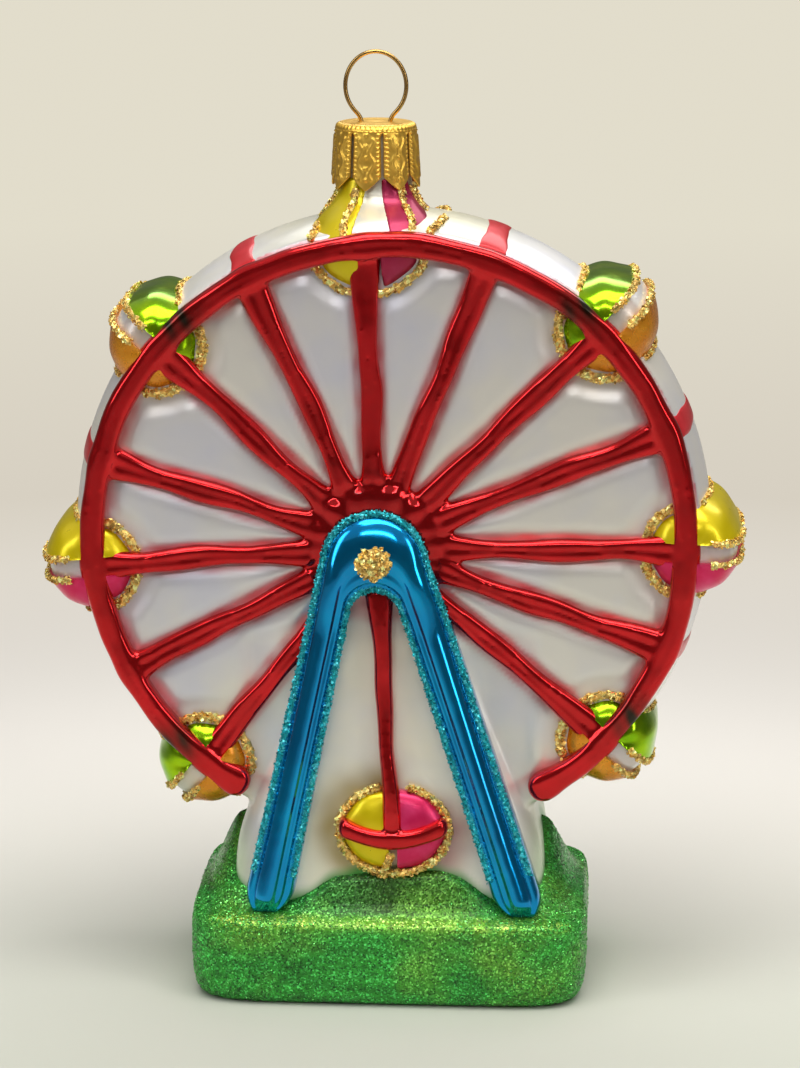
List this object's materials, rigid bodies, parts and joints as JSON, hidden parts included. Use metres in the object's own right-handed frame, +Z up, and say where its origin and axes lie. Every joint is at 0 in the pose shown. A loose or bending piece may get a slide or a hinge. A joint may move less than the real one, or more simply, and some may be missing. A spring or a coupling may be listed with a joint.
{
  "type": "ferris wheel hanging ornament",
  "caption": "Blown-glass hanging ornament shaped as a Ferris wheel with striped gondolas on a glittered base, with a metal cap and a wire hanging ring.",
  "frame": {"origin": "centre of the underside of the base, on the surface the ornament stands on", "axes": "+Z up through the neck, -Y towards the viewer of the front face, X across the wheel, Y along the wheel's axle"},
  "size_m": [0.0998, 0.04, 0.1347],
  "materials": {
    "pearl_glass": "satin pearl lacquer over silvered glass",
    "red_lacquer": "clear red lacquer over silvered glass",
    "blue_lacquer": "clear blue lacquer over silvered glass",
    "yellow_lacquer": "satin yellow lacquer over silvered glass",
    "pink_lacquer": "satin pink lacquer over silvered glass",
    "green_lacquer": "clear yellow-green lacquer over silvered glass",
    "orange_lacquer": "satin orange lacquer over silvered glass",
    "green_glitter": "green lacquer with fine green glitter",
    "teal_glitter": "fine teal glitter in clear glue",
    "gold_glitter": "coarse gold glitter in clear glue",
    "cap_gold": "gold-coloured embossed sheet",
    "wire_brass": "bright spring wire"
  },
  "bodies": {
    "glass": {"wheel_glass": "pearl_glass", "base_glass": "green_glitter", "rim_front": "red_lacquer", "hub_and_spokes_front": "red_lacquer", "bottom_spoke_and_bar_front": "red_lacquer", "legs_front": "blue_lacquer", "legs_glitter_outer_front": "teal_glitter", "legs_glitter_inner_front": "teal_glitter", "hub_glitter_dot_front": "gold_glitter", "gondola_bottom_yellow_front": "yellow_lacquer", "gondola_bottom_pink_front": "pink_lacquer", "gondola_bottom_glitter_front": "gold_glitter", "gondola_top_yellow_front": "yellow_lacquer", "gondola_top_pink_front": "pink_lacquer", "gondola_top_glitter_front": "gold_glitter", "gondola_upper_right_glitter_front": "gold_glitter", "gondola_right_glitter_front": "gold_glitter", "gondola_lower_right_glitter_front": "gold_glitter", "gondola_lower_left_glitter_front": "gold_glitter", "gondola_left_glitter_front": "gold_glitter", "gondola_upper_left_glitter_front": "gold_glitter", "rim_back": "red_lacquer", "hub_and_spokes_back": "red_lacquer", "bottom_spoke_and_bar_back": "red_lacquer", "legs_back": "blue_lacquer", "legs_glitter_outer_back": "teal_glitter", "legs_glitter_inner_back": "teal_glitter", "hub_glitter_dot_back": "gold_glitter", "gondola_bottom_yellow_back": "yellow_lacquer", "gondola_bottom_pink_back": "pink_lacquer", "gondola_bottom_glitter_back": "gold_glitter", "gondola_top_yellow_back": "yellow_lacquer", "gondola_top_pink_back": "pink_lacquer", "gondola_top_glitter_back": "gold_glitter", "gondola_upper_right_glitter_back": "gold_glitter", "gondola_right_glitter_back": "gold_glitter", "gondola_lower_right_glitter_back": "gold_glitter", "gondola_lower_left_glitter_back": "gold_glitter", "gondola_left_glitter_back": "gold_glitter", "gondola_upper_left_glitter_back": "gold_glitter", "gondola_right_yellow": "yellow_lacquer", "gondola_right_pink": "pink_lacquer", "gondola_left_yellow": "yellow_lacquer", "gondola_left_pink": "pink_lacquer", "gondola_upper_right_green": "green_lacquer", "gondola_upper_right_orange": "orange_lacquer", "gondola_lower_right_green": "green_lacquer", "gondola_lower_right_orange": "orange_lacquer", "gondola_lower_left_green": "green_lacquer", "gondola_lower_left_orange": "orange_lacquer", "gondola_upper_left_green": "green_lacquer", "gondola_upper_left_orange": "orange_lacquer", "tread_band_1": "red_lacquer", "tread_band_2": "red_lacquer", "tread_band_3": "red_lacquer", "tread_band_4": "red_lacquer", "tread_band_5": "red_lacquer", "tread_band_6": "red_lacquer"},
    "cap": {"cap": "cap_gold"},
    "hanger": {"hanger": "wire_brass"}
  },
  "joints": [
    {"name": "cap_lift", "type": "slide", "parent": "glass", "child": "cap", "axis": [0, 0, 1], "range_m": [0, 0.02]},
    {"name": "hanger_slide", "type": "slide", "parent": "cap", "child": "hanger", "axis": [0, 0, 1], "range_m": [0, 0.005]}
  ]
}
